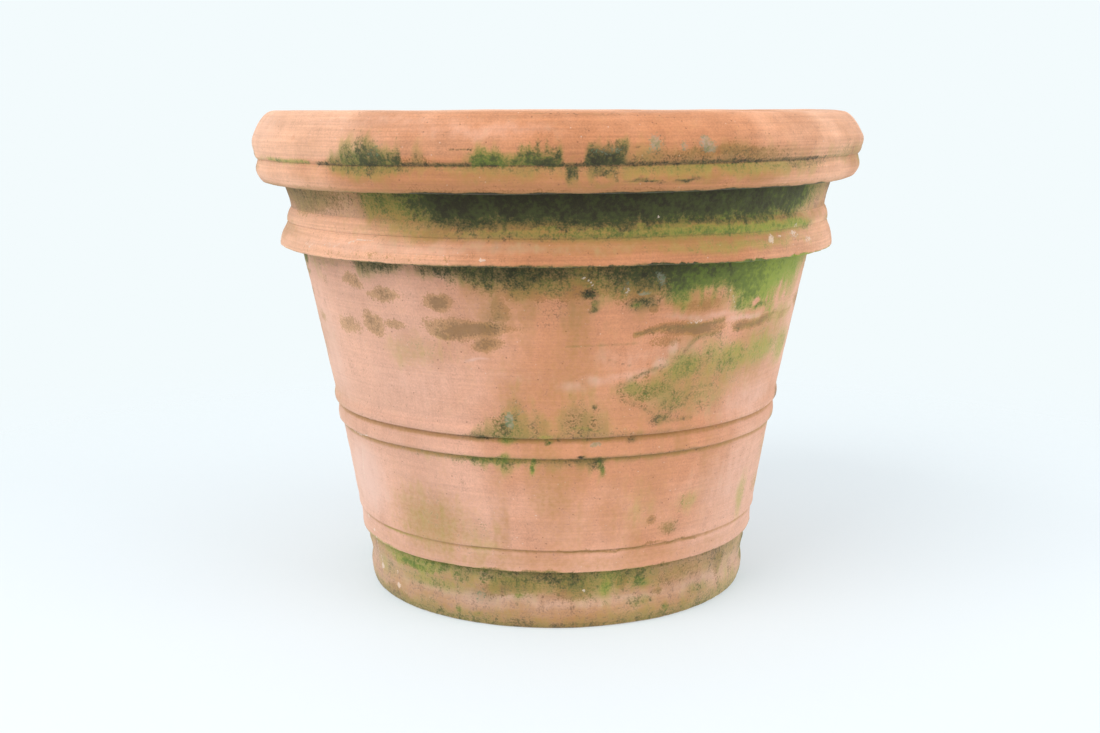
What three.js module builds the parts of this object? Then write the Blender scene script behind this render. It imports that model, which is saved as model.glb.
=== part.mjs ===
// Terracotta garden pot with a double rim, built the way a large pot is coil-built: a floor slab, and
// ring-shaped courses of clay stacked on it, each with its own moulding, luted together with slip.
// Millimetres, +Z up. The origin is the centre of the foot's underside, and +Z is the turning axis.

import * as THREE from 'three';

// ---- Driving dimensions -----------------------------------------------------------------------------

const height = 472;          // from the ground to the flat top of the rim
const rimRadius = 300;       // the widest point, on the rim roll

const floorTop = 28;         // the inside floor
const floorRecess = 4;       // the slab's underside stands this far off the ground
const floorRadius = 167;     // inside of the wall at the floor
const throatZ = 405;         // the inside widens more slowly above this height
const throatRadius = 241;    // inside of the wall there
const mouthRadius = 248;     // inside of the rim, at the top
const coveRadius = 12;       // the hollow corner between the wall and the floor
const slabRadius = 150;      // underside of the floor slab; its edge slopes outwards going up
const slabSlope = 6;         // how far that edge slopes
const drainRadius = 20;      // the drainage hole in the middle of the floor

const slip = 0.3;            // the film of slip between two courses
const bedFall = 5;           // each bed falls this far inwards, so that a course centres itself
const facets = 56;           // flats round each turned surface
const curveSteps = 3;        // flats along each curved stretch of an outline

// Each bed is where one course sits on another: its height and radius where it meets the outer face.
const beds = {
  band: { z: 57.5, radius: 195.5 },
  lowerWall: { z: 79.5, radius: 203.2 },
  cordon: { z: 169.5, radius: 218.9 },
  upperWall: { z: 189, radius: 221 },
  collar: { z: 346, radius: 254.6 },
  fillet: { z: 368.5, radius: 268.2 },
  neck: { z: 382, radius: 265.2 },
  bead: { z: 405, radius: 271.8 },
  roll: { z: 428, radius: 295.3 },
};

// ---- Clays: the fired body, paler and pinker on the walls, and stained where water runs and stands --

const rimClay = clay('#e6a67e', 0.82);
const wallClay = clay('#e3ab8a', 0.86);
const neckClay = clay('#66603c', 0.92);
const footClay = clay('#b8906c', 0.9);

const pot = new THREE.Group();

pot.add(floorSlab());
pot.add(footRing());
pot.add(lowerBand());
pot.add(lowerWall());
pot.add(cordon());
pot.add(upperWall());
pot.add(collar());
pot.add(collarFillet());
pot.add(neck());
pot.add(rimBead());
pot.add(rimRoll());

// ---- Courses, from the ground up --------------------------------------------------------------------

// The floor is a thick disc with a sloping edge, and a hole whose upper lip is wiped round.
function floorSlab() {
  const lip = 4;
  const outline = new THREE.Path();
  outline.moveTo(drainRadius, floorRecess);
  outline.lineTo(slabRadius, floorRecess);
  outline.lineTo(slabRadius + slabSlope, floorTop);
  outline.lineTo(drainRadius + lip, floorTop);
  outline.quadraticCurveTo(drainRadius, floorTop, drainRadius, floorTop - lip);
  return turned('floor_slab', outline, footClay);
}

// The foot closes round the slab. Outside, a low bulge stands under a shallow waist.
function footRing() {
  const coveTop = floorTop + coveRadius;
  const slabEdge = slabRadius + slip;
  const outline = new THREE.Path();
  outline.moveTo(slabEdge + 2, 0);
  outline.lineTo(187, 0);
  outline.quadraticCurveTo(190.6, 0, 191, 3.5);
  outline.quadraticCurveTo(193.6, 10, 193.4, 17);
  outline.quadraticCurveTo(193.2, 21.5, 192.2, 25);
  outline.quadraticCurveTo(192.4, 34, 195.2, 42);
  outline.lineTo(beds.band.radius, beds.band.z - slip);
  lineToInside(outline, beds.band.z - slip);
  outline.lineTo(innerRadius(coveTop), coveTop);
  outline.quadraticCurveTo(floorRadius, floorTop, slabEdge + slabSlope, floorTop);
  outline.lineTo(slabEdge, floorRecess);
  return turned('foot_ring', outline, footClay);
}

// The band overhangs the foot with a crisp lower edge.
function lowerBand() {
  return course('lower_band', beds.band, beds.lowerWall, wallClay, (face) => {
    overhang(face, beds.band, 201.6, 1.5);
    face.quadraticCurveTo(201.7, 71, beds.lowerWall.radius, beds.lowerWall.z - slip);
  });
}

// The lower wall starts with a small soft lip over the band, then runs straight.
function lowerWall() {
  return course('lower_wall', beds.lowerWall, beds.cordon, wallClay, (face) => {
    overhang(face, beds.lowerWall, 204.8, 1);
    face.lineTo(204.9, 86);
    face.lineTo(beds.cordon.radius, beds.cordon.z - slip);
  });
}

// The lower of the two rolls at half height.
function cordon() {
  return course('lower_cordon', beds.cordon, beds.upperWall, wallClay, (face) => {
    overhang(face, beds.cordon, 222.6, 1.5);
    face.quadraticCurveTo(223.2, 180, beds.upperWall.radius, beds.upperWall.z - slip);
  });
}

// The upper roll is the foot of the upper wall, and fades into it.
function upperWall() {
  return course('upper_wall', beds.upperWall, beds.collar, wallClay, (face) => {
    overhang(face, beds.upperWall, 225.9, 1.5);
    face.quadraticCurveTo(226.5, 195.5, 225.4, 199);
    face.quadraticCurveTo(225.2, 202.5, 226.6, 208);
    face.lineTo(beds.collar.radius, beds.collar.z - slip);
  });
}

// The collar stands 20 mm out from the wall below it and leans back going up.
function collar() {
  return course('collar', beds.collar, beds.fillet, rimClay, (face) => {
    overhang(face, beds.collar, 275.2, 1.5);
    face.quadraticCurveTo(274.4, 357, 269.8, 364);
    face.lineTo(beds.fillet.radius, beds.fillet.z - slip);
  });
}

// A small quarter round covers the joint of the collar and the neck.
function collarFillet() {
  return course('collar_fillet', beds.fillet, beds.neck, rimClay, (face) => {
    face.lineTo(268.9, 369.5);
    face.quadraticCurveTo(268.9, 376.5, beds.neck.radius, beds.neck.z - slip);
  });
}

// The neck hollows in below the rim.
function neck() {
  return course('neck', beds.neck, beds.bead, neckClay, (face) => {
    face.quadraticCurveTo(265.6, 391.5, beds.bead.radius, beds.bead.z - slip);
  });
}

// The lower moulding of the double rim.
function rimBead() {
  return course('rim_bead', beds.bead, beds.roll, rimClay, (face) => {
    face.lineTo(283, beds.bead.z);
    face.quadraticCurveTo(291, beds.bead.z, 293.6, 410);
    face.quadraticCurveTo(298.8, 417, 296.3, 423.5);
    face.lineTo(beds.roll.radius, beds.roll.z - slip);
  });
}

// The heavy upper roll: fullest low down, sloping in to a flat top, and rounded into the mouth.
function rimRoll() {
  const inset = 1.4;
  const crownPull = 1.75;
  const outline = new THREE.Path();
  lineToInside(outline, beds.roll.z);
  outline.lineTo(beds.roll.radius, beds.roll.z);
  outline.quadraticCurveTo(298, 429.5, rimRadius - inset, 436);
  outline.quadraticCurveTo(rimRadius + crownPull, 443.5, rimRadius - inset, 450.5);
  outline.quadraticCurveTo(293, 464, 284.5, 470);
  outline.quadraticCurveTo(281.5, height, 277, height);
  outline.lineTo(mouthRadius + 10, height);
  outline.quadraticCurveTo(mouthRadius, height, innerRadius(height - 9), height - 9);
  return turned('rim_roll', outline, rimClay);
}

// ---- Shared shapes ----------------------------------------------------------------------------------

// A ring between two beds. drawFace draws its outer face, from the lower bed up to the upper one.
function course(name, lowerBed, upperBed, material, drawFace) {
  const outline = new THREE.Path();
  lineToInside(outline, lowerBed.z);
  outline.lineTo(lowerBed.radius, lowerBed.z);
  drawFace(outline);
  lineToInside(outline, upperBed.z - slip);
  return turned(name, outline, material);
}

// The flat underside of a moulding that stands out past its bed, with a slightly worn lower edge.
function overhang(face, bed, radius, wear) {
  face.lineTo(radius - wear, bed.z);
  face.quadraticCurveTo(radius, bed.z, radius, bed.z + wear);
}

// Follows a bed down to the inside of the pot, or starts an outline there.
function lineToInside(outline, bedZ) {
  const z = bedZ - bedFall;
  if (outline.curves.length === 0) {
    outline.moveTo(innerRadius(z), z);
  } else {
    outline.lineTo(innerRadius(z), z);
  }
}

// The inside is a plain cone that turns a little steeper in the neck and rim.
function innerRadius(z) {
  if (z < throatZ) {
    return THREE.MathUtils.mapLinear(z, floorTop, throatZ, floorRadius, throatRadius);
  }
  return THREE.MathUtils.mapLinear(z, throatZ, height, throatRadius, mouthRadius);
}

// Turns a closed outline of radius and height about the Z axis.
function turned(name, outline, material) {
  outline.closePath();
  const geometry = new THREE.LatheGeometry(outline.getPoints(curveSteps), facets);
  geometry.rotateX(Math.PI / 2);
  const mesh = new THREE.Mesh(geometry, material);
  mesh.name = name;
  return mesh;
}

function clay(colour, roughness) {
  return new THREE.MeshStandardMaterial({ color: colour, roughness, metalness: 0 });
}

export default pot;
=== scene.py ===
# A weathered terracotta garden pot with a double rim: the visual model around its imported CAD part.
# Every clay course is one dense turned mesh, with its unevenness, wear, chips and pits as real geometry.
# Growth, stains and limescale are laid on in marks, and the materials break them up into grains.
# Some marks are painted shade, under the mouldings and along the ground, and some painted light,
# on the left and towards the sides.
# Outlines and marks are in millimetres, in the frame of the CAD part. Azimuth is in degrees from the
# front of the pot, positive to the right.

import math

import bpy
import numpy as np
from mathutils import Matrix


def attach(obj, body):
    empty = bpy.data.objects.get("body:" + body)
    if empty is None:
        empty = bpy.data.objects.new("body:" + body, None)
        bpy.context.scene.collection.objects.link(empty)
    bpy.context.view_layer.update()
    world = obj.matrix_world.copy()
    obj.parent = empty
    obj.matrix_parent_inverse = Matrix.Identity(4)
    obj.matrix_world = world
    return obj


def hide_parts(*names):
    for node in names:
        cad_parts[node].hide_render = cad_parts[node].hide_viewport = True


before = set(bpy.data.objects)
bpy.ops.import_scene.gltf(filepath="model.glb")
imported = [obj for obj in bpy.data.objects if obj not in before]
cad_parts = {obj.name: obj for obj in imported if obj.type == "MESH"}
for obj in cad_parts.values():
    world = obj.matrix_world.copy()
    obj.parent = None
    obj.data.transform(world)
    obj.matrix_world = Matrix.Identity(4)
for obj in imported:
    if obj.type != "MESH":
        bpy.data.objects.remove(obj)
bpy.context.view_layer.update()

MM = 0.001

# ---- Driving dimensions, as in the CAD part --------------------------------------------------------

HEIGHT = 472
RIM_RADIUS = 300
FLOOR_TOP = 28
FLOOR_RECESS = 4
FLOOR_RADIUS = 167
THROAT_Z = 405
THROAT_RADIUS = 241
MOUTH_RADIUS = 248
COVE_RADIUS = 12
SLAB_RADIUS = 150
SLAB_SLOPE = 6
DRAIN_RADIUS = 20
BED_FALL = 5
SEAM = 0.04                  # the slip fills the joint here, so only a hairline is left of it

# Where one course sits on another: height, and radius where the bed meets the outer face.
BEDS = {
    "band": (57.5, 195.5),
    "lower_wall": (79.5, 203.2),
    "cordon": (169.5, 218.9),
    "upper_wall": (189, 221),
    "collar": (346, 254.6),
    "fillet": (368.5, 268.2),
    "neck": (382, 265.2),
    "bead": (405, 271.8),
    "roll": (428, 295.3),
}

# ---- Fineness --------------------------------------------------------------------------------------

AROUND = 840
STEP = {"face": 2.0, "under": 1.5, "inside": 6.0, "bed": 14.0}   # along an outline
BAKE_SHARE = {"face": 1.0, "under": 0.7, "inside": 0.8, "bed": 0.1}
BAKE_MARGIN = 0.004

# ---- Weather, in millimetres -----------------------------------------------------------------------

MARK_REACH = 1.7             # how far a mark fades out, as a share of its half size
DEGREE_LENGTH = 4.4          # of a degree round the middle of the wall
PIT_CIRCLE = 270             # the radius that the widths of the pits are reckoned at
FINGER_SPACING = 17          # of the ridges that fingers left on the inside
CHIP_REACH = 2.4             # how far a chip spreads from the edge that it is knocked off


# ---- Small mathematics -----------------------------------------------------------------------------

def smooth(low, high, value):
    """0 below low, 1 above high, and an even curve between. Low may be the larger of the two."""
    t = np.clip((value - low) / (high - low), 0, 1)
    return t * t * (3 - 2 * t)


def across(azimuth, centre):
    """Degrees from a centre to each azimuth, the short way round."""
    return (azimuth - centre + 180) % 360 - 180


LATTICE_SIZE = 64
LATTICE = np.random.default_rng(5).uniform(-1, 1, (LATTICE_SIZE,) * 3).astype(np.float32)


def noise(points, size, seed):
    """Smooth random values from -1 to 1 in space. Their lumps are about `size` across."""
    grid = (points / size + 11.7 * seed).astype(np.float32)
    cell = np.floor(grid)
    ease = grid - cell
    ease = ease * ease * (3 - 2 * ease)
    low = cell.astype(np.int32) % LATTICE_SIZE
    high = (low + 1) % LATTICE_SIZE
    (x0, y0, z0), (x1, y1, z1), (x, y, z) = low.T, high.T, ease.T
    floor_side = LATTICE[x0, y0, z0] * (1 - x) + LATTICE[x1, y0, z0] * x
    floor_side = floor_side * (1 - y) + (LATTICE[x0, y1, z0] * (1 - x) + LATTICE[x1, y1, z0] * x) * y
    roof_side = LATTICE[x0, y0, z1] * (1 - x) + LATTICE[x1, y0, z1] * x
    roof_side = roof_side * (1 - y) + (LATTICE[x0, y1, z1] * (1 - x) + LATTICE[x1, y1, z1] * x) * y
    return floor_side * (1 - z) + roof_side * z


def fractal(points, size, seed, octaves=3):
    """Noise with finer and fainter noise on it."""
    total = np.zeros(len(points))
    for octave in range(octaves):
        total += noise(points, size / 2 ** octave, seed + octave) / 2 ** octave
    return total


# ---- Outlines --------------------------------------------------------------------------------------

class Outline:
    """The closed section of a turned piece, as radius and height.
    Each stretch is an outer face, the underside of an overhang, the inside, or a hidden bed."""

    def __init__(self, radius, height):
        self.points = [(radius, height)]
        self.kinds = ["bed"]

    def curve(self, kind, control_radius, control_height, radius, height):
        """A quadratic curve from the last point."""
        start = np.array(self.points[-1])
        control = np.array((control_radius, control_height))
        end = np.array((radius, height))
        length = np.linalg.norm(control - start) + np.linalg.norm(end - control)
        steps = max(2, math.ceil(length / STEP[kind]))
        for t in np.arange(1, steps + 1) / steps:
            self.points.append(tuple(start * (1 - t) ** 2 + control * 2 * t * (1 - t) + end * t ** 2))
            self.kinds.append(kind)
        return self

    def line(self, kind, radius, height):
        """A straight stretch from the last point."""
        start, end = np.array(self.points[-1]), np.array((radius, height))
        steps = max(1, math.ceil(np.linalg.norm(end - start) / STEP[kind]))
        for t in np.arange(1, steps + 1) / steps:
            self.points.append(tuple(start + (end - start) * t))
            self.kinds.append(kind)
        return self

    def overhang(self, bed, radius, wear):
        """The flat underside of a moulding that stands out past its bed, and its worn lower edge."""
        height = BEDS[bed][0]
        self.line("under", radius - wear, height)
        return self.curve("face", radius, height, radius, height + wear)


def inner_radius(height):
    """The inside is a plain cone that turns a little steeper in the neck and rim."""
    return np.interp(height, [FLOOR_TOP, THROAT_Z, HEIGHT], [FLOOR_RADIUS, THROAT_RADIUS, MOUTH_RADIUS])


def course(lower, upper, draw_face):
    """A ring between two beds. draw_face draws its outer face, from the lower bed up to the upper one."""
    low_height, low_radius = BEDS[lower]
    high = BEDS[upper][0] - SEAM
    start = low_height - BED_FALL
    outline = Outline(inner_radius(start), start)
    outline.line("bed", low_radius, low_height)
    draw_face(outline)
    outline.line("bed", inner_radius(high - BED_FALL), high - BED_FALL)
    outline.line("inside", inner_radius(start), start)
    return outline


def top_of(bed):
    """Where the outer face of a course meets the bed above it."""
    height, radius = BEDS[bed]
    return radius, height - SEAM


def floor_slab():
    lip = 4
    return (Outline(DRAIN_RADIUS + 1.5, FLOOR_RECESS)
            .line("face", SLAB_RADIUS, FLOOR_RECESS)
            .line("bed", SLAB_RADIUS + SLAB_SLOPE, FLOOR_TOP)
            .line("inside", DRAIN_RADIUS + lip, FLOOR_TOP)
            .curve("under", DRAIN_RADIUS, FLOOR_TOP, DRAIN_RADIUS, FLOOR_TOP - lip)
            .line("under", DRAIN_RADIUS, FLOOR_RECESS + 1.5)
            .line("under", DRAIN_RADIUS + 1.5, FLOOR_RECESS))


def foot_ring():
    cove_top = FLOOR_TOP + COVE_RADIUS
    edge = SLAB_RADIUS + SEAM
    top = BEDS["band"][0] - SEAM
    return (Outline(edge + 2, 0)
            .line("face", 187, 0)
            .curve("face", 190.6, 0, 191, 3.5)
            .curve("face", 193.6, 10, 193.4, 17)
            .curve("face", 193.2, 21.5, 192.2, 25)
            .curve("face", 192.4, 34, 195.2, 42)
            .line("face", *top_of("band"))
            .line("bed", inner_radius(top - BED_FALL), top - BED_FALL)
            .line("inside", inner_radius(cove_top), cove_top)
            .curve("inside", FLOOR_RADIUS, FLOOR_TOP, edge + SLAB_SLOPE, FLOOR_TOP)
            .line("bed", edge, FLOOR_RECESS)
            .line("under", edge + 2, 0))


def lower_band(face):
    face.overhang("band", 201.6, 1.5)
    face.curve("face", 201.7, 71, *top_of("lower_wall"))


def lower_wall(face):
    face.overhang("lower_wall", 204.8, 1)
    face.line("face", 204.9, 86)
    face.line("face", *top_of("cordon"))


def lower_cordon(face):
    face.overhang("cordon", 222.6, 2.6)
    face.curve("face", 223.2, 180, *top_of("upper_wall"))


def upper_wall(face):
    face.overhang("upper_wall", 225.9, 2.6)
    face.curve("face", 226.5, 195.5, 225.4, 199)
    face.curve("face", 225.2, 202.5, 226.6, 208)
    face.line("face", *top_of("collar"))


def collar(face):
    face.overhang("collar", 275.2, 1.5)
    face.curve("face", 274.4, 357, 269.8, 364)
    face.line("face", *top_of("fillet"))


def collar_fillet(face):
    face.line("face", 268.9, 369.5)
    face.curve("face", 268.9, 376.5, *top_of("neck"))


def neck(face):
    face.curve("face", 265.6, 391.5, *top_of("bead"))


def rim_bead(face):
    face.line("under", 283, BEDS["bead"][0])
    face.curve("face", 291, BEDS["bead"][0], 293.6, 410)
    face.curve("face", 298.8, 417, 296.3, 423.5)
    face.line("face", *top_of("roll"))


def rim_roll():
    bed_height, bed_radius = BEDS["roll"]
    start = bed_height - BED_FALL
    inset = 1.4
    crown_pull = 1.75
    return (Outline(inner_radius(start), start)
            .line("bed", bed_radius, bed_height)
            .curve("face", 298, 429.5, RIM_RADIUS - inset, 436)
            .curve("face", RIM_RADIUS + crown_pull, 443.5, RIM_RADIUS - inset, 450.5)
            .curve("face", 293, 464, 284.5, 470)
            .curve("face", 281.5, HEIGHT, 277, HEIGHT)
            .line("face", MOUTH_RADIUS + 10, HEIGHT)
            .curve("face", MOUTH_RADIUS, HEIGHT, inner_radius(HEIGHT - 9), HEIGHT - 9)
            .line("inside", inner_radius(start), start))


# ---- Marks of weather and use, with painted light and shade ----------------------------------------
# Each mark is an oval: azimuth, height, half its width in degrees, half its height, and strength.
# A strength over 1 covers without a break, and one under 0.5 leaves scattered grains.
# Growth has a sixth number, its hue: 0 is nearly black, 0.3 dark green, 0.6 mid green, 1 yellow-green.
# A run is a line of marks: its points, half its thickness, and strength, with a hue for growth.

RIM_GROWTH = [
    (13.7, 414.5, 2.6, 1.8, 0.85, 0.3), (20.5, 414.5, 2.8, 1.8, 0.8, 0.3),
    (32, 384, 28, 5, 0.9, 0.72), (2, 384, 16, 4, 0.85, 0.55), (16, 379, 42, 5, 0.75, 0.5),
    (-9, 416, 6, 4, 0.3, 0.5), (18, 374, 42, 7, 0.42, 0.75), (-30, 384, 9, 20, 0.5, 0.75),
    (5, 362, 26, 5, 0.22, 0.8), (37, 360, 22, 5, 0.5, 1),
]
LONG_SMEAR = [(16.5, 283), (22, 285), (30, 287), (38, 291)]
SHORT_SMEAR = [(42, 279), (50, 282), (57, 287)]
WALL_GROWTH = [
    (6.2, 322, 1.8, 5.5, 1, 0.1), (7.4, 311, 0.9, 9, 0.8, 0.4), (7.5, 305, 1, 3, 0.9, 0.3),
    (17.5, 309, 4.2, 8.5, 0.85, 0.3), (16, 307, 1.6, 3.4, 0.9, 0.6), (49.5, 300, 4, 4, 0.9, 0.75),
    (43.5, 305, 4.5, 8, 0.9, 0.8), (-34, 95, 10, 34, 0.34, 0.95), (-21, 85, 6, 24, 0.3, 0.9),
    (-31, 266, 9, 16, 0.3, 1), (22, 120, 5, 22, 0.26, 0.9), (0, 306, 9, 20, 0.3, 0.3),
    (-12, 300, 2.6, 16, 0.4, 0.3), (36, 256, 5, 21, 0.62, 0.75), (29, 247, 7, 18, 0.72, 0.7),
    (22, 232, 8, 14, 0.66, 0.62), (27, 218, 7, 16, 0.64, 0.55), (24, 203, 3, 6, 0.72, 0.4),
    (17, 236, 4.4, 8, 0.72, 0.58), (43, 252, 9, 17, 0.68, 0.85), (55, 254, 10, 16, 0.66, 1),
    (67, 250, 8, 18, 0.66, 0.95), (34, 222, 9, 22, 0.52, 0.65), (60, 285, 10, 15, 0.42, 1),
    (38, 245, 14, 24, 0.46, 0.75), (54, 258, 12, 20, 0.44, 0.9), (29, 234, 9, 18, 0.46, 0.62),
    (-10, 206, 1.5, 6.5, 0.6, 0.5), (-10, 198, 4.5, 4, 0.65, 0.4), (-8, 217, 3, 9, 0.45, 0.5),
    (5, 210, 1, 15, 0.55, 0.4), (8.5, 218, 0.7, 3.5, 0.7, 0.4), (7, 197.5, 5, 2.6, 0.75, 0.5),
    (-11.5, 189, 2.6, 7, 0.85, 0.6),
    (-17, 188.5, 3.2, 2.6, 0.95, 0.25),
    (-2.5, 189, 2.6, 5, 0.6, 0.75), (-2, 182, 0.9, 2, 1, 0.4), (0.6, 187, 0.7, 4, 0.8, 0.3),
    (17, 183, 1.4, 3.6, 0.7, 0.1), (-20, 167, 5.6, 3, 0.75, 0.6), (-11, 168, 1.3, 6.5, 0.95, 0.6),
    (-5.3, 159, 0.7, 6.5, 1, 0.75), (5.7, 170, 1.5, 1.8, 0.95, 0.2), (9.2, 163, 1.4, 3.2, 0.85, 0.3),
    (10.5, 154, 0.6, 7, 0.95, 0.5),
    (31, 93, 3, 6.5, 0.5, 0.4), (60, 105, 3.4, 24, 0.5, 0.95),
    (34.5, 115, 3.6, 11, 0.42, 1), (33, 119, 2, 5, 0.3, 1), (8, 187, 9, 2, 0.5, 0.5),
    (33, 168, 5, 1.6, 0.5, 0.2),
]
GROWTH_RUNS = [
    ([(-44, 429), (50, 429)], 2.3, 0.85, 0.2),
    ([(50, 429), (64, 429)], 2, 0.6, 0.5),
    ([(-62, 430), (-46, 429.5)], 2.2, 0.75, 0.85),
    ([(-17, 442), (-13, 442)], 0.6, 0.8, 0.2),
    ([(4, 442.5), (12.5, 442.5)], 0.6, 0.9, 0.1),
    ([(-5, 470), (11, 470)], 0.6, 0.42, 0.2),
    ([(13, 235), (20, 248), (27, 255), (31, 275), (38, 278)], 3.2, 0.55, 0.45),
    ([(14, 225), (18, 218), (22, 208), (25, 200), (33, 200)], 3, 0.5, 0.4),
    ([(2, 274), (17, 275)], 1.2, 0.45, 0.4),
    ([(11, 261), (16.5, 254)], 0.7, 0.5, 0.1),
    ([(-26, 169.2), (40, 169.2)], 1.5, 0.55, 0.3),
    ([(-18, 188.5), (14, 188.5)], 1.5, 0.55, 0.4),
    ([(-24, 79), (42, 79)], 1.2, 0.4, 0.3),
    ([(-55, 77.5), (-38, 77.5)], 1.2, 0.6, 0.9),
    (LONG_SMEAR, 3.4, 0.36, 0.5),
    (SHORT_SMEAR, 3.4, 0.36, 0.6),
]
FOOT_GROWTH = [
    (-45, 47, 9, 4, 1, 0.8), (-38, 35, 14, 10, 0.6, 0.75), (-10, 30, 1.6, 4, 0.85, 0.6),
    (-29, 14, 1.5, 5, 0.75, 0.6), (-22.5, 11.5, 3, 4, 0.6, 0.6), (13, 39, 2.6, 11, 0.9, 0.8),
    (23.5, 43, 3.8, 5.5, 0.85, 0.6), (23.5, 22, 4, 7, 0.6, 0.6), (45, 17, 6, 8, 0.55, 0.6),
    (32.5, 8, 2, 4, 0.8, 0.5), (65, 14, 6, 12, 0.5, 0.7), (0, 5, 40, 5, 0.35, 0.5),
    (-20, 32, 7, 9, 0.45, 0.3), (-60, 30, 9, 14, 0.45, 0.8), (3, 46, 18, 8, 0.4, 0.3),
]
# Stains. Two rows are painted shade: the band at 406 mm under the rim bead, and the line at 3 mm along the
# ground as contact shadow.
STAINS_AND_SHADE = [
    (-24.5, 311, 3.3, 7, 1.1), (-47, 324, 3.2, 6.5, 0.75), (-38, 314.5, 5.3, 7, 0.8),
    (-60, 323, 3, 5.5, 0.3), (-52, 280, 5, 8.5, 0.75), (-42.5, 287, 4, 10, 0.85),
    (-36, 288.5, 3.2, 5, 0.7), (-67, 281, 3.5, 7, 0.55), (-18, 290, 9, 9, 1.15),
    (-14, 274, 3.3, 7, 0.95), (-10.8, 312, 1.6, 17, 0.8), (-24, 284, 2.6, 4, 1.1),
    (0, 328, 18, 12, 0.75), (16, 326, 8, 16, 0.7), (30, 309, 8, 6.5, 0.55), (20.5, 304, 1.4, 5, 0.7),
    (30, 284, 8.5, 8, 1.05), (49.5, 282, 8, 6, 1), (63, 281, 6, 5, 0.5), (24, 272, 5, 5, 0.6),
    (25, 101, 1.4, 5.5, 0.7), (30, 92, 2.8, 7, 0.6), (28, 438, 13, 7, 0.6), (-24, 430, 12, 3, 0.4),
    (20, 232, 8, 20, 0.35), (-30, 352, 30, 4, 0.3), (0, 406, 75, 4, 0.35), (-60, 394, 16, 12, 0.9),
    (-12, 196, 6, 10, 0.35), (6, 206, 6, 12, 0.35), (-12, 40, 8, 10, 0.9), (4.5, 42, 5, 13, 0.9),
    (29.5, 29, 2.2, 5, 0.9), (54, 38, 3.4, 13, 0.8), (17.5, 42, 2, 7, 0.9), (38, 42, 12, 10, 0.45),
    (-55, 6, 16, 7, 0.7), (0, 3, 60, 3, 0.7), (-48, 46, 12, 5, 0.5),
]
STAIN_AND_SHADE_RUNS = [
    (LONG_SMEAR, 2.8, 1.1),
    (SHORT_SMEAR, 2.8, 1.1),
    ([(57, 286), (70, 283)], 2.4, 0.6),
    # Painted shadow: dark lines just under the overhanging edges of the lower wall and of the band.
    ([(0, 78), (40, 78)], 1.3, 0.7),
    ([(-50, 57), (50, 56)], 1.2, 0.8),
    ([(6.4, 31), (6.4, 57)], 0.7, 1.1),
]
OCHRE = [
    (-48, 443, 8, 8, 0.15), (-32, 424, 10, 8, 0.7), (25, 420, 20, 9, 0.75), (-8, 421, 14, 8, 0.6),
    (4, 414, 44, 9, 0.4), (24, 436, 28, 9, 0.35), (3, 230, 9, 60, 0.4), (10, 205, 18, 40, 0.35),
    (-8, 222, 5, 44, 0.4), (14, 120, 5, 50, 0.3), (2, 108, 8, 44, 0.3), (24, 130, 5, 40, 0.3),
    (0, 66, 60, 8, 0.4), (0, 44, 70, 12, 0.6), (0, 10, 70, 8, 0.6), (8, 360, 29, 6, 0.6),
    (-22, 374, 9, 8, 0.8), (18, 377, 44, 7, 1.2), (-45, 376, 18, 7, 0.15), (-32, 390, 7, 14, 0.8),
    (20, 367, 38, 5, 0.8), (-32, 262, 7, 20, 0.28), (-34, 96, 13, 36, 0.62), (-20, 88, 6, 26, 0.3),
    (31, 308, 9, 8, 0.6), (45, 240, 18, 24, 0.45), (26, 232, 10, 22, 0.35), (2, 262, 8, 34, 0.2),
    (10, 200, 14, 14, 0.25), (58, 268, 12, 20, 0.5), (-42, 24, 20, 22, 0.5), (10, 16, 50, 14, 0.35),
]
# Painted shade: a dark band just under each moulding and the rim bead, where its shadow falls, laid in with
# the yellow-brown film.
SHADE_UNDER_MOULDINGS = [                   # height, half thickness and strength of the dark tone under each moulding
    (167.5, 2.6, 0.85), (186.5, 2.6, 0.85), (78, 2, 0.7), (406.5, 2.6, 0.5),
]
# Pale salts. Some marks are painted light, paler where the key light falls and towards the sides: those
# from -68 to -28 degrees on the left side, those on the rim top from -68 to -12 degrees, and those at 50
# degrees on the right. The rest are salts.
BLOOM_AND_LIGHT = [
    (-62, 125, 13, 38, 1), (-66, 250, 9, 60, 0.5), (-68, 456, 12, 16, 0.4), (-30, 462, 24, 6, 0.3),
    (-12, 456, 14, 7, 0.4), (-35, 235, 12, 26, 0.3), (45, 290, 6, 4, 0.7), (-28, 360, 40, 6, 0.45),
    (50, 205, 16, 16, 0.45), (50, 130, 16, 30, 0.35), (-24, 27, 34, 7, 0.5), (8, 26, 30, 5, 0.5),
    (44, 24, 18, 7, 0.4), (4, 238, 3.4, 5, 0.5), (9, 242, 3.4, 5.5, 0.55), (14, 246, 3.4, 5.5, 0.55),
    (19, 250, 3.4, 5, 0.5), (23, 257, 2.2, 6, 0.7), (26, 266, 2, 7, 0.7), (-17, 260.5, 3.6, 2, 0.7),
    (32, 297, 9, 4, 0.5), (20, 221, 8, 10, 0.2), (14, 262, 7, 12, 0.35), (-6, 247, 8, 8, 0.25),
    (28, 262, 9, 12, 0.4),
]
LIME = [
    (-12.8, 352, 0.7, 1.6, 0.9),
    (44, 362, 0.8, 3.4, 1.1), (47, 364, 0.9, 1.2, 0.8), (52, 364, 1.6, 3, 0.7),
    (57.5, 358.5, 1.4, 2.6, 0.7), (53, 370, 1, 1.6, 0.7),
    (14, 323, 0.6, 5, 0.6), (30.5, 290.5, 2.6, 2, 0.6), (7.3, 38, 0.4, 1.4, 1.1),
    (-64, 26, 1.1, 3, 1.1), (-53.5, 30, 0.6, 1.6, 1), (-52.5, 17, 0.8, 3.2, 1.2),
    (-67, 76, 1.2, 2, 0.8), (-62.5, 65, 0.8, 1.6, 0.9), (-61, 59, 0.8, 1.4, 0.9),
]
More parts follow.
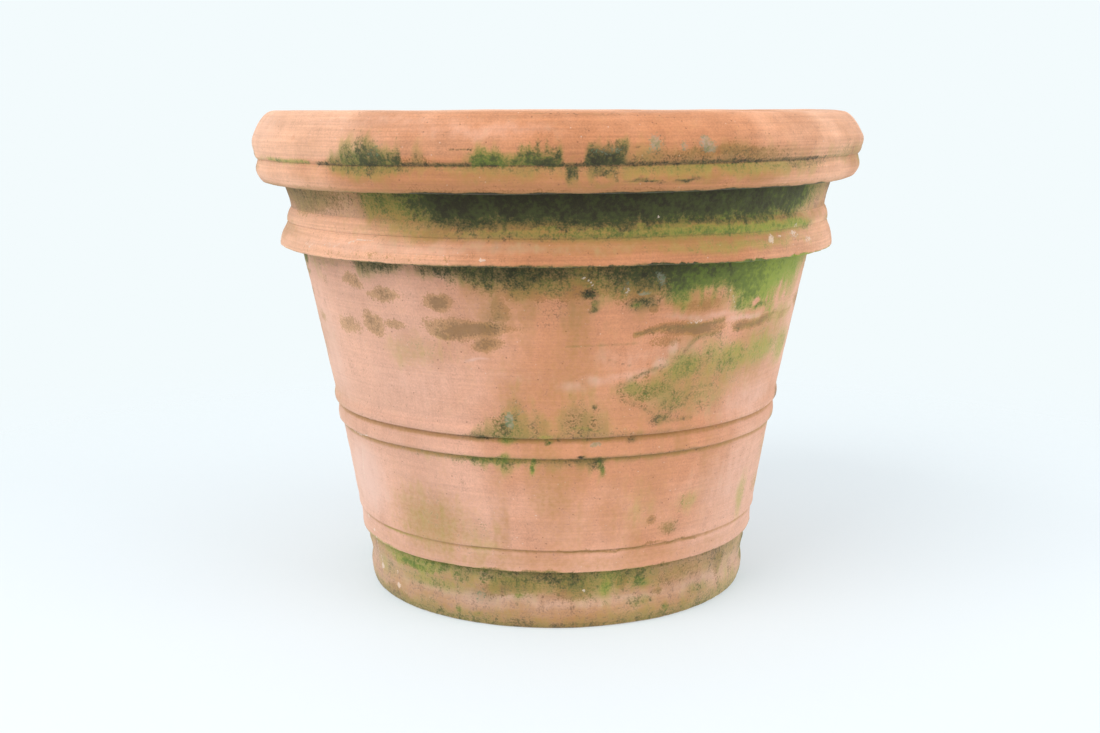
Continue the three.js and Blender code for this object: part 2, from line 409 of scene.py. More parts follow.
LIME_RUNS = [
    ([(-57, 352), (-55.6, 357.5), (-54, 353), (-52.8, 358)], 0.6, 0.8),
    ([(-50, 354.5), (-48, 360), (-46.4, 355), (-44, 360.5)], 0.6, 0.8),
    ([(-42, 360.5), (-40, 364), (-36, 364.5)], 0.7, 0.8),
    ([(5, 336), (6.6, 332.5), (7.5, 327)], 0.7, 0.95),
    ([(38.5, 318), (41, 300)], 0.8, 0.7),
    ([(18.3, 385), (18.7, 392)], 0.4, 0.8),
    ([(-61, 188.5), (-50, 188.5)], 1, 0.8),
    ([(-68, 171), (-60, 168), (-53, 171)], 1.2, 0.85),
    ([(-60, 150), (-62, 128), (-63.5, 110)], 0.7, 0.95),
    ([(-25.5, 149), (-25.3, 141)], 0.5, 0.7),
    ([(-66, 50), (-64.5, 38), (-63.5, 27)], 0.8, 0.95),
]
LICHEN = [
    (14.5, 446, 1.1, 10, 0.8), (20, 445, 1.1, 5.5, 0.7), (24.8, 445, 1.4, 8.5, 0.9),
    (-10.2, 206, 1, 6.5, 1), (21, 331, 1.2, 8, 0.9), (17.4, 319, 1.6, 2.4, 1),
    (9.8, 181, 1.4, 3.4, 0.9), (-30, 441, 2.4, 6, 0.5), (7.5, 444, 3, 4, 0.5), (-21, 31, 2, 10, 0.6),
    (14, 330, 1, 5, 0.5), (-7, 212, 1.2, 4, 0.5),
]
BARE = [                      # places where nothing grew, inside growth
    (7.5, 418, 1.1, 2.4, 1), (4, 328, 0.8, 2.2, 1), (48, 305.5, 1.2, 2.8, 1),
    (-46, 436, 2.2, 6, 0.8),
]
PITS = [
    (-50, 449.5, 2.4, 1.5), (-52, 454, 1.2, 1), (-38, 460, 1.2, 0.9), (-30, 454, 1, 0.8),
    (-5, 372, 2.2, 0.8), (24, 462, 1, 0.8), (96, 455, 1.6, 1.2), (150, 447, 2, 1.3),
    (-140, 458, 1.4, 1), (-99, 300, 2, 1), (120, 250, 1.8, 1), (-25, 262, 1.2, 0.8),
    (33, 140, 1.4, 0.9), (172, 120, 2.2, 1.1), (-12, 110, 1.1, 0.8),
]


def cover(marks, azimuth, height):
    """How strongly the marks cover each point, and the hue there, for marks that have one."""
    strongest = np.zeros(len(azimuth))
    weight = np.full(len(azimuth), 1e-4)
    hue_sum = weight * 0.4
    lowest, highest = height.min(), height.max()
    for centre, level, half_width, half_height, strength, *hue in marks:
        reach = MARK_REACH * half_height
        if level + reach < lowest or level - reach > highest:
            continue
        distance = np.hypot(across(azimuth, centre) / half_width, (height - level) / half_height)
        amount = strength * smooth(MARK_REACH, 0.2, distance)
        strongest = np.maximum(strongest, amount)
        if hue:
            weight = weight + amount ** 2
            hue_sum = hue_sum + amount ** 2 * hue[0]
    return strongest, hue_sum / weight


def runs_to_marks(runs):
    """Breaks each run into marks that follow it."""
    marks = []
    for points, half_thickness, strength, *hue in runs:
        for (az_a, z_a), (az_b, z_b) in zip(points, points[1:]):
            length = math.hypot((az_b - az_a) * DEGREE_LENGTH, z_b - z_a)
            count = max(1, round(length / half_thickness / 1.2))
            half_width = max(half_thickness / DEGREE_LENGTH, abs(az_b - az_a) / count)
            half_height = max(half_thickness, abs(z_b - z_a) / count)
            for k in range(count):
                t = (k + 0.5) / count
                marks.append((az_a + (az_b - az_a) * t, z_a + (z_b - z_a) * t,
                              half_width, half_height, strength, *hue))
    return marks


def strew(seed, count, heights, widths, tallness, strength, hues=None):
    """Random marks on the sides and back, from one front edge round to the other."""
    random = np.random.default_rng(seed)
    marks = []
    for _ in range(count):
        azimuth = random.uniform(72, 288)
        width = random.uniform(*widths)
        mark = [azimuth, random.uniform(*heights), width, width * random.uniform(*tallness),
                random.uniform(*strength)]
        if hues:
            mark.append(random.uniform(*hues))
        marks.append(tuple(mark))
    return marks


# The front, as placed above, and the sides and back, as strewn.
GROWTH_MARKS = (
    RIM_GROWTH + WALL_GROWTH + FOOT_GROWTH
    + strew(1, 60, (318, 342), (1.5, 7), (1.2, 2.6), (0.5, 1.15), (0.1, 0.8))
    + strew(2, 34, (431, 440), (1, 4), (1.5, 3), (0.4, 1.1), (0.1, 0.6))
    + strew(3, 30, (418, 427), (2, 8), (0.4, 0.9), (0.4, 0.95), (0.2, 0.8))
    + strew(4, 46, (196, 275), (1.5, 8), (1.5, 3.2), (0.3, 0.62), (0.3, 1))
    + strew(5, 30, (166, 192), (1, 5), (0.7, 1.6), (0.4, 0.9), (0.2, 0.7))
    + strew(6, 26, (88, 150), (0.6, 5), (2, 5), (0.3, 0.6), (0.4, 1))
    + strew(7, 44, (6, 52), (1.5, 9), (0.9, 2.4), (0.35, 0.95), (0.2, 0.8))
)
GROWTH_RUN_MARKS = runs_to_marks(GROWTH_RUNS)
STAIN_AND_SHADE_MARKS = (
    STAINS_AND_SHADE + runs_to_marks(STAIN_AND_SHADE_RUNS)
    + strew(11, 34, (262, 330), (2, 8), (0.9, 2.2), (0.5, 1.1))
    + strew(12, 18, (90, 240), (2, 7), (1.5, 4), (0.3, 0.8))
    + strew(13, 16, (10, 50), (2, 7), (1.5, 3), (0.5, 0.9))
)
OCHRE_MARKS = (
    OCHRE
    + strew(21, 16, (360, 384), (8, 26), (0.2, 0.5), (0.4, 0.8))
    + strew(22, 14, (90, 300), (6, 16), (1.5, 3.5), (0.2, 0.5))
    + strew(23, 12, (418, 446), (5, 14), (0.4, 0.9), (0.3, 0.6))
)
SHADE_UNDER_MOULDING_MARKS = runs_to_marks([([(-180, z), (180, z)], *thickness_and_strength)
                              for z, *thickness_and_strength in SHADE_UNDER_MOULDINGS])
BLOOM_AND_LIGHT_MARKS = (
    BLOOM_AND_LIGHT
    + strew(31, 16, (60, 300), (8, 20), (1.5, 3), (0.3, 0.7))
    + strew(32, 10, (352, 366), (6, 20), (0.2, 0.4), (0.3, 0.5))
)
LIME_MARKS = (
    LIME + runs_to_marks(LIME_RUNS)
    + strew(41, 40, (350, 366), (0.3, 1.2), (1.2, 3.5), (0.6, 1))
    + strew(42, 40, (8, 190), (0.25, 1.1), (1.5, 6), (0.6, 1))
    + strew(43, 20, (196, 460), (0.2, 0.7), (1.5, 4), (0.6, 1))
)
LICHEN_MARKS = (
    LICHEN
    + strew(51, 22, (180, 340), (0.8, 2), (2, 5), (0.5, 1))
    + strew(52, 12, (434, 452), (0.8, 1.8), (3, 6), (0.5, 0.9))
)

# Growth that starts from an edge. Each row: azimuth, amount at the edge, how far it reaches, and hue.
ABOVE_RIM_GROOVE = [
    (-62, 0.5, 5, 0.8), (-50, 0.5, 4, 0.8), (-48, 0.1, 5, 0.6), (-42, 0.3, 8, 0.5),
    (-40, 0.82, 13, 0.4), (-37.5, 0.75, 13, 0.4), (-37, 0.95, 21, 0.42), (-34, 0.95, 23, 0.4),
    (-33.2, 1.08, 26, 0.3), (-29, 1.08, 26, 0.3), (-28, 0.9, 23, 0.42), (-25.3, 0.95, 24, 0.35),
    (-24.7, 0.25, 12, 0.4), (-23.4, 0.25, 10, 0.4), (-22.6, 0.6, 18, 0.4), (-21.3, 0.55, 18, 0.4),
    (-20.4, 0.15, 8, 0.4), (-15.6, 0.2, 9, 0.5), (-14, 0.5, 16, 0.55), (-13, 1.05, 22, 0.5),
    (-9, 1.08, 23, 0.52), (-8, 0.88, 20, 0.5), (-3.7, 0.98, 20, 0.42), (-2.8, 1.1, 26, 0.3),
    (0.2, 1.1, 26, 0.28), (0.9, 0.2, 9, 0.3), (3.8, 0.2, 9, 0.3), (4.5, 1.12, 23, 0.2),
    (7, 1.15, 27, 0.2), (10.4, 1.05, 27, 0.26), (11.1, 0.4, 18, 0.35), (12.5, 0.55, 20, 0.5),
    (15.8, 0.55, 22, 0.4), (17, 0.52, 20, 0.3), (30, 0.56, 21, 0.3), (40, 0.46, 20, 0.3),
    (50, 0.25, 10, 0.5), (60, 0.5, 20, 0.5), (70, 0.4, 20, 0.5),
]
BELOW_RIM_GROOVE = [
    (-60, 0.15, 5, 0.8), (-43, 0.25, 6, 0.7), (-40, 0.6, 11, 0.6), (-36, 0.68, 12, 0.5),
    (-25, 0.65, 12, 0.5), (-22, 0.4, 10, 0.6), (-16, 0.4, 10, 0.55), (-14, 0.55, 12, 0.55),
    (-1, 0.55, 12, 0.5), (0.6, 0.4, 12, 0.4), (1.2, 0.95, 18, 0.3), (2.7, 0.95, 18, 0.3),
    (3.4, 0.4, 12, 0.4), (4.4, 0.5, 14, 0.4), (5.2, 0.78, 19, 0.35), (9.2, 0.72, 19, 0.4),
    (10.2, 0.45, 14, 0.45), (12, 0.58, 14, 0.6), (26, 0.62, 15, 0.7), (40, 0.58, 14, 0.7),
    (42, 0.6, 13, 0.5), (50, 0.58, 13, 0.5), (54, 0.35, 9, 0.5), (70, 0.25, 7, 0.5),
]
NECK_GROWTH = [
    (-75, 0.45, 24, 0.5), (-54, 0.5, 26, 0.5), (-46, 0.4, 24, 0.55), (-40, 0.4, 24, 0.6),
    (-38, 0.7, 32, 0.6), (-30, 0.85, 35, 0.5), (-25, 1.15, 36, 0.3), (-20, 1.6, 38, 0.08),
    (12, 1.65, 38, 0.1), (20, 1.55, 38, 0.18), (40, 1.5, 38, 0.24), (54, 1.4, 36, 0.32),
    (58, 0.85, 32, 0.55), (64, 0.6, 26, 0.6), (72, 0.45, 24, 0.6),
]
ABOVE_COLLAR = [
    (-75, 0.05, 6, 0.9), (-36, 0.15, 8, 0.7), (-26, 0.4, 13, 0.52), (-14, 0.7, 15, 0.5),
    (5, 0.78, 15, 0.52), (15, 0.85, 16, 0.6), (32, 0.93, 17, 0.74), (57, 0.92, 17, 0.88),
    (61, 0.5, 12, 0.7), (66, 0.1, 6, 0.9),
]
UNDER_COLLAR = [
    (-75, 0.4, 22, 0.8), (-62, 0.45, 30, 0.75), (-50, 0.45, 15, 0.5), (-46, 0.4, 14, 0.4),
    (-44, 0.85, 19, 0.36), (-34, 0.88, 21, 0.36), (-32, 0.7, 17, 0.36), (-30.6, 0.5, 14, 0.35),
    (-29, 0.5, 14, 0.35), (-27, 0.85, 19, 0.34), (-18, 0.9, 23, 0.34), (-16, 1, 27, 0.28),
    (-8, 1, 32, 0.26), (-6, 0.95, 36, 0.3), (0, 0.88, 36, 0.34), (5, 0.8, 32, 0.4),
    (9, 0.85, 40, 0.38), (14, 0.95, 42, 0.3), (15, 1.12, 38, 0.22), (21, 1.15, 40, 0.24),
    (24, 1.35, 46, 0.35), (27, 1.5, 48, 0.48), (38, 1.4, 43, 0.5), (40, 1.42, 54, 0.6),
    (47, 1.45, 56, 0.75), (52, 1.4, 56, 0.94), (62, 1.15, 54, 1), (68, 0.8, 48, 0.95),
    (75, 0.6, 36, 0.9),
]
ABOVE_CORDON = [
    (-60, 0, 5, 0.8), (-28, 0.15, 5, 0.4), (-20, 0.65, 8, 0.35), (-14, 0.68, 30, 0.45),
    (-10, 0.75, 52, 0.5), (-6, 0.58, 44, 0.5), (0, 0.45, 30, 0.5), (4, 0.55, 52, 0.42),
    (6, 0.62, 52, 0.42), (9, 0.56, 46, 0.42), (13, 0.42, 18, 0.45), (18, 0.45, 8, 0.35),
    (30, 0.3, 5, 0.3), (60, 0.3, 5, 0.3), (70, 0.1, 4, 0.5),
]
BELOW_CORDON = [
    (-60, 0.1, 4, 0.9), (-45, 0.2, 6, 0.8), (-27, 0.5, 10, 0.5), (-20, 0.72, 15, 0.55),
    (-13, 0.85, 20, 0.58), (-9, 0.7, 17, 0.5), (-5.8, 0.6, 14, 0.6), (-5.2, 0.95, 26, 0.7),
    (-4.4, 0.6, 14, 0.5), (-3, 0.5, 12, 0.45), (4, 0.6, 13, 0.35), (6, 0.82, 14, 0.3),
    (9, 0.72, 18, 0.35), (10.2, 0.95, 32, 0.5), (11.2, 0.6, 16, 0.45), (12, 0.5, 12, 0.4),
    (22, 0.45, 8, 0.4), (40, 0.36, 6, 0.35), (60, 0.2, 5, 0.4),
]
UNDER_BAND = [
    (-70, 0.55, 16, 0.8), (-55, 0.75, 20, 0.85), (-40, 0.8, 28, 0.8), (-25, 0.68, 34, 0.55),
    (-10, 0.72, 34, 0.45), (5, 0.75, 36, 0.42), (10, 0.7, 34, 0.5), (14, 0.78, 36, 0.7),
    (18, 0.7, 32, 0.5), (24, 0.7, 28, 0.6), (30, 0.5, 34, 0.45), (45, 0.42, 28, 0.4),
    (52, 0.6, 40, 0.35), (58, 0.55, 34, 0.45), (70, 0.5, 26, 0.6),
]
ABOVE_GROUND = [
    (-70, 0.6, 24, 0.5), (-50, 0.58, 20, 0.5), (-30, 0.58, 24, 0.55), (-22, 0.52, 24, 0.6),
    (-10, 0.45, 18, 0.45), (10, 0.45, 18, 0.5), (24, 0.52, 26, 0.55), (34, 0.55, 22, 0.5),
    (46, 0.55, 28, 0.6), (70, 0.58, 28, 0.7),
]


def around_back(seed, rows, amounts, reaches, hues):
    """Adds random rows round the sides and back to a table of the front."""
    random = np.random.default_rng(seed)
    ranges = (amounts, reaches, hues)
    more, azimuth = [], 76.0
    while azimuth < 284:
        more.append((azimuth, *(random.uniform(*limits) for limits in ranges)))
        azimuth += random.choice([0.4, 3.5, 7.0])
    return np.array(rows + more)


# The height of each edge, the side that the growth is on (up is 1), how ragged the growth is, how far it
# spreads back over the edge, and its table.
EDGES = [
    (428.5, 1, 0.9, 0.6, around_back(61, ABOVE_RIM_GROOVE, (0.0, 1.15), (5, 22), (0.1, 0.6))),
    (428, -1, 0.8, 0.6, around_back(62, BELOW_RIM_GROOVE, (0.1, 0.95), (4, 13), (0.2, 0.8))),
    (405.5, -1, 0.35, 0.1, around_back(63, NECK_GROWTH, (0.3, 1.2), (16, 28), (0.05, 0.5))),
    (367.5, 1, 0.6, 5.0, around_back(64, ABOVE_COLLAR, (0.0, 0.9), (6, 14), (0.4, 1.0))),
    (346.5, -1, 0.65, 0.1, around_back(65, UNDER_COLLAR, (0.3, 1.3), (10, 46), (0.1, 0.95))),
    (188, 1, 1.0, 1.5, around_back(66, ABOVE_CORDON, (0.0, 0.8), (4, 36), (0.2, 0.7))),
    (170, -1, 1.0, 1.5, around_back(67, BELOW_CORDON, (0.0, 0.8), (4, 24), (0.2, 0.7))),
    (58, -1, 0.9, 0.1, around_back(68, UNDER_BAND, (0.3, 0.8), (10, 30), (0.3, 0.9))),
    (-1, 1, 0.9, 0.1, around_back(69, ABOVE_GROUND, (0.3, 0.6), (10, 26), (0.4, 0.7))),
]


def from_edges(points, azimuth, height):
    """Growth that spreads from the edges, in streaks, and its hue."""
    streaks = 0.3 * noise(points * (1, 1, 0.12), 3.5, 55) + 0.35 * noise(points * (1, 1, 0.2), 11, 56)
    streaks = streaks + 0.3 * noise(points, 24, 57) + 0.15 * noise(points, 5, 58)
    strongest = np.zeros(len(azimuth))
    chosen_hue = np.full(len(azimuth), 0.4)
    for edge, side, raggedness, spread, table in EDGES:
        distance = (height - edge) * side
        furthest = table[:, 2].max() * 1.8
        if distance.max() < -1 - spread or distance.min() > furthest:
            continue
        place, *columns = table.T
        amount, reach, hue = (np.interp(azimuth, place, column, period=360) for column in columns)
        share = distance / (reach * (1 + raggedness * streaks))
        grown = amount * smooth(1.2, 0.15, share) * smooth(-1 - spread, spread, distance)
        hue = hue + 0.22 * smooth(0.25, 0.75, share)
        chosen_hue = np.where(grown > strongest, hue, chosen_hue)
        strongest = np.maximum(strongest, grown)
    return strongest, chosen_hue


# ---- The making of one piece -----------------------------------------------------------------------

def hand_warp(points):
    """Out of round, with mouldings that rise and dip. It depends on the place alone, so pieces still
    fit together, and the ground line stays flat."""
    height = points[:, 2]
    lift = smooth(4, 80, height)
    azimuth = np.arctan2(points[:, 0], -points[:, 1])
    oval = 0.0016 * np.cos(2 * azimuth + 0.7) + 0.0009 * np.cos(3 * azimuth + 2.1)
    swell = oval + 0.0018 * noise(points, 150, 61) * lift
    groove_rise = smooth(386, 405, height) * smooth(458, 430, height) * (1.8 + 1.9 * np.sin(azimuth))
    crown_rise = smooth(440, 470, height) * (0.6 - 0.7 * np.sin(azimuth))
    collar_sag = 2.6 * smooth(330, 344, height) * smooth(366, 350, height)
    collar_sag *= smooth(0.2, 1, np.cos(azimuth - math.radians(85)))
    waves = lift * (0.9 * noise(points, 130, 62) + 0.4 * noise(points, 45, 63))
    moved = points.copy()
    moved[:, 0] = points[:, 0] * (1 + swell) + 2.4 * smooth(330, 390, height)
    moved[:, 1] = points[:, 1] * (1 + swell)
    moved[:, 2] = height + waves + groove_rise + crown_rise - collar_sag
    return moved


def surface_relief(points, azimuth, height, is_inside, growth):
    """How far the clay stands out from its true outline, along the surface normal."""
    squashed = points * (0.02, 0.02, 0.22)
    lumps = 0.22 * fractal(points, 42, 71)
    wheel = 0.13 * noise(squashed, 1, 72) + 0.1 * noise(squashed * 0.45, 1, 73)
    crust = np.clip(growth, 0, 1) * (0.3 + 0.3 * noise(points, 3.2, 74))
    turns = height / FINGER_SPACING * 2 * np.pi + np.radians(azimuth)
    fingers = 0.55 * np.sin(turns + 1.3 * noise(points, 90, 75))
    pits = np.zeros(len(points))
    for centre, level, radius, depth in PITS:
        distance = np.hypot(np.radians(across(azimuth, centre)) * PIT_CIRCLE, height - level)
        pits = np.maximum(pits, depth * smooth(1.3 * radius, 0.3 * radius, distance))
    return np.where(is_inside, 1.4 * lumps + fingers, lumps + wheel + crust - pits)


def chip(points, azimuth, lip, depth):
    """How far a moulding's sharp lower edge is knocked back. The collar's right side has lost most."""
    lip_radius, lip_height = lip
    distance = np.hypot(np.hypot(points[:, 0], points[:, 1]) - lip_radius, points[:, 2] - lip_height)
    near_edge = np.exp(-(distance / CHIP_REACH) ** 2)
    ragged = smooth(0.1, 0.75, fractal(points * (1, 1, 0.3), 11, 81))
    more = 0.28 + 1.5 * smooth(0.72, 0.97, np.cos(np.radians(across(azimuth, 43)))) * (lip_height > 300)
    worn = 0.12 + 0.1 * noise(points, 40, 82)
    return depth * near_edge * (ragged * more + worn)


def paint_layers(points, azimuth, height, is_inside, is_below):
    """The amounts of growth, stains, painted shade, painted light and the rest at each point, for the
    materials to break up.
    """
    scatter = np.stack([fractal(points, 26, seed, 4) for seed in (91, 92)])
    ragged_azimuth = azimuth + 1.1 * scatter[0]
    ragged_height = height + 4.2 * scatter[1] * smooth(0, 10, height)
    place = (ragged_azimuth, ragged_height)
    fine = (azimuth + 0.2 * scatter[0], height + 0.5 * scatter[1])

    growth, hue = cover(GROWTH_MARKS, *place)
    run_growth, run_hue = cover(GROWTH_RUN_MARKS, *fine)
    hue = np.where(run_growth > growth, run_hue, hue)
    growth = np.maximum(growth, run_growth)
    edge_growth, edge_hue = from_edges(points, azimuth + 0.55 * scatter[0], height + 1.2 * scatter[1])
    hue = np.where(edge_growth > growth, edge_hue, hue)
    growth = np.maximum(growth, edge_growth)
    on_neck = smooth(381, 384, height) * smooth(406, 404, height)

    bare, _ = cover(BARE, *place)
    growth = growth * (1 - np.clip(bare, 0, 1))
    stain_and_shade, _ = cover(STAIN_AND_SHADE_MARKS, *place)
    # The yellow-brown film also carries the painted shade under the mouldings.
    ochre_and_shade = np.maximum(cover(OCHRE_MARKS, *place)[0], cover(SHADE_UNDER_MOULDING_MARKS, *fine)[0])
    bloom_and_light, _ = cover(BLOOM_AND_LIGHT_MARKS, *place)
    lichen, _ = cover(LICHEN_MARKS, *place)
    lime, _ = cover(LIME_MARKS, *fine)
    rain = smooth(-0.25, 0.8, fractal(points * (1, 1, 0.13), 24, 93))
    is_rained_on = np.maximum(smooth(50, 22, np.abs(azimuth - 6)), 0.8 * smooth(95, 125, np.abs(azimuth)))
    ochre_and_shade = np.maximum(ochre_and_shade, 0.5 * rain * is_rained_on * smooth(52, 60, height) * smooth(347, 340, height))

    to_back = smooth(-178, -130, azimuth)     # fades the left side out, so that no step is left at the back
    # Painted light: paler and pinker on the left, where the key light falls, on the rim top towards the
    # left, and towards both sides, as painted sheen; the same tone carries on round the back. Lower down
    # and at random the clay is pinker as well.
    pink_and_painted_light = smooth(10, -42, azimuth) * to_back * smooth(420, 330, height)
    pink_and_painted_light += 0.9 * smooth(-4, -50, azimuth) * to_back * smooth(430, 438, height)
    pink_and_painted_light += 0.7 * smooth(26, 60, np.abs(azimuth))
    pink_and_painted_light = np.clip(pink_and_painted_light + 0.3 * smooth(200, 60, height) + 0.25 * noise(points, 90, 94), 0, 1)
    # Darker along the ground, as painted contact shadow; just under the band, as painted shade and dirt;
    # and on the neck.
    soil_and_shade = smooth(12, 2, ragged_height) * 0.25 + 0.25 * on_neck + 0.22 * smooth(60, 50, height)

    inner_growth, inner_soil, tide = inside_layers(points, height, ragged_height)
    growth = np.where(is_inside, inner_growth, np.where(is_below, 0, growth))
    hue = np.where(is_inside, 0.45, hue)
    below_soil = 0.25 + 0.3 * fractal(points, 25, 99, 2)
    soil_and_shade = np.where(is_inside, inner_soil, np.where(is_below, below_soil, soil_and_shade))
    lime = np.where(is_inside, 0.75 * tide, lime)
    bloom_and_light = np.where(is_inside, 0.5 * tide, bloom_and_light)
    for layer in (stain_and_shade, ochre_and_shade, lichen):
        layer[is_inside] = 0
    return {
        "growth_hue_stain_and_shade": (growth, hue, stain_and_shade),
        "ochre_and_shade_bloom_and_light_lime": (ochre_and_shade, bloom_and_light, lime),
        "lichen_soil_and_shade_pink_and_light": (lichen, soil_and_shade, pink_and_painted_light),
    }


def inside_layers(points, height, ragged_height):
    """The pot has held earth, which left a dirty floor, a tide line of salts, and a clean mouth."""
    earth_line = 392 + 5 * noise(points, 60, 95)
    soil_and_shade = 0.45 * smooth(earth_line + 4, earth_line - 6, height) + 0.6 * smooth(90, 30, ragged_height)
    soil_and_shade = np.clip(soil_and_shade + 0.25 * fractal(points, 30, 96), 0, 1.2)
    tide = np.exp(-((height - earth_line - 6) / 5) ** 2) * (0.62 + 0.4 * noise(points, 30, 97))
    growth = 0.75 * smooth(250, 380, height) * smooth(earth_line + 14, earth_line - 4, height)
    growth *= smooth(-0.2, 0.8, fractal(points, 48, 98))
    return growth, soil_and_shade, tide


def outline_facts(outline):
    """Points, normals and kinds, how freely each point may move, and its place on the bake."""
    points = np.array(outline.points[:-1])
    kinds = np.array(outline.kinds[1:])       # of the stretch that starts at each point
    following = np.roll(points, -1, axis=0)
    lengths = np.linalg.norm(following - points, axis=1)
    directions = (following - points) / lengths[:, None]
    tangents = directions + np.roll(directions, 1, axis=0)
    tangents /= np.linalg.norm(tangents, axis=1)[:, None]
    normals = np.stack([tangents[:, 1], -tangents[:, 0]], axis=1)

    on_bed = kinds == "bed"
    at_bed = on_bed | np.roll(on_bed, 1)
    bed_points = points[at_bed]
    distance = np.linalg.norm(points[:, None] - bed_points[None], axis=2).min(axis=1)
    freedom = smooth(0, 6, distance) if len(bed_points) else np.ones(len(points))

    shares = np.array([BAKE_SHARE[kind] for kind in kinds]) * lengths
    bake_height = np.concatenate([[0], np.cumsum(shares) / shares.sum()])
    return points, normals, kinds, freedom, bake_height


def turned(name, node, slot, outline, lip, chip_depth):
    """One clay piece: its outline turned about the Z axis, then warped, worn and painted."""
    section, section_normals, kinds, freedom, bake_height = outline_facts(outline)
    rows = len(section)
    azimuth = np.arange(AROUND) * 360 / AROUND
    azimuth = np.where(azimuth > 180, azimuth - 360, azimuth)
    sine, cosine = np.sin(np.radians(azimuth)), -np.cos(np.radians(azimuth))

    def turn_section(values):
        radial, vertical = values[:, 0][:, None], values[:, 1][:, None]
        return np.stack([radial * sine, radial * cosine, vertical + 0 * sine], axis=2).reshape(-1, 3)

    points, normals = turn_section(section), turn_section(section_normals)
    azimuths = np.tile(azimuth, rows)
    heights = points[:, 2].copy()
    is_inside = np.repeat((kinds == "inside") | (np.roll(kinds, 1) == "inside"), AROUND)
    is_below = np.repeat(section_normals[:, 1] < -0.8, AROUND) & (heights < 6)
    layers = paint_layers(points, azimuths, heights, is_inside, is_below)
    growth = layers["growth_hue_stain_and_shade"][0]
    relief = surface_relief(points, azimuths, heights, is_inside, growth)
    shaped = points + normals * (relief * np.repeat(freedom, AROUND))[:, None]
    if lip:
        outward = np.stack([np.tile(sine, rows), np.tile(cosine, rows), np.full(len(points), -0.7)], axis=1)
        shaped -= outward * chip(points, azimuths, lip, chip_depth)[:, None]
    shaped = hand_warp(shaped)
    shaped[:, 2] = np.maximum(shaped[:, 2], 0)

    mesh = bpy.data.meshes.new(name)
    fill_mesh(mesh, shaped * MM, rows)
    lay_out_bake(mesh, rows, section, bake_height)
    for layer, channels in layers.items():
        colours = np.ones((len(points), 4), np.float32)
        colours[:, :3] = np.stack(channels, axis=1)
        attribute = mesh.color_attributes.new(layer, "FLOAT_COLOR", "POINT")
        attribute.data.foreach_set("color", colours.ravel())
    mesh.materials.append(CLAYS[slot])
    piece = bpy.data.objects.new(name, mesh)
    bpy.context.scene.collection.objects.link(piece)
    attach(piece, "root")
    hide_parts(node)
    return piece


def fill_mesh(mesh, points, rows):
    """Quads between neighbouring rows of points, all round and closed on itself."""
    row, column = np.meshgrid(np.arange(rows), np.arange(AROUND), indexing="ij")
    next_row, next_column = (row + 1) % rows, (column + 1) % AROUND
    corners = np.stack([row * AROUND + column, row * AROUND + next_column,
                        next_row * AROUND + next_column, next_row * AROUND + column], axis=2)
    corners = corners.reshape(-1, 4)
    mesh.vertices.add(len(points))
    mesh.vertices.foreach_set("co", points.astype(np.float32).ravel())
    mesh.loops.add(corners.size)
    mesh.loops.foreach_set("vertex_index", corners.astype(np.int32).ravel())
    mesh.polygons.add(len(corners))
    mesh.polygons.foreach_set("loop_start", np.arange(0, corners.size, 4, dtype=np.int32))
    mesh.update(calc_edges=True)
    mesh.shade_smooth()
    mesh.set_sharp_from_angle(angle=math.radians(50))
    mesh.update()


def lay_out_bake(mesh, rows, section, bake_height):
    """Cuts the ring into equal arcs, laid above one another, to use the texture evenly."""
    girth = 2 * math.pi * section[:, 0].mean()
    length = np.linalg.norm(np.diff(section, axis=0), axis=1).sum()
    wanted = math.sqrt(girth / length)
    arcs = min((n for n in range(1, 13) if AROUND % n == 0), key=lambda n: abs(n - wanted))
    per_arc = AROUND // arcs
    row, column = np.meshgrid(np.arange(rows), np.arange(AROUND), indexing="ij")
    arc, place = column // per_arc, column % per_arc
    left, right = place / per_arc, (place + 1) / per_arc
    low, high = bake_height[row], bake_height[row + 1]

    def in_arc(value):
        return (arc + BAKE_MARGIN * arcs + value * (1 - 2 * BAKE_MARGIN * arcs)) / arcs

    def across_sheet(value):
        return BAKE_MARGIN + value * (1 - 2 * BAKE_MARGIN)

    u = np.stack([left, right, right, left], axis=2)
    v = np.stack([in_arc(low), in_arc(low), in_arc(high), in_arc(high)], axis=2)
    coordinates = np.stack([across_sheet(u), v], axis=3).astype(np.float32)
    mesh.uv_layers.new(name="OFBake").data.foreach_set("uv", coordinates.ravel())


# ---- Materials -------------------------------------------------------------------------------------

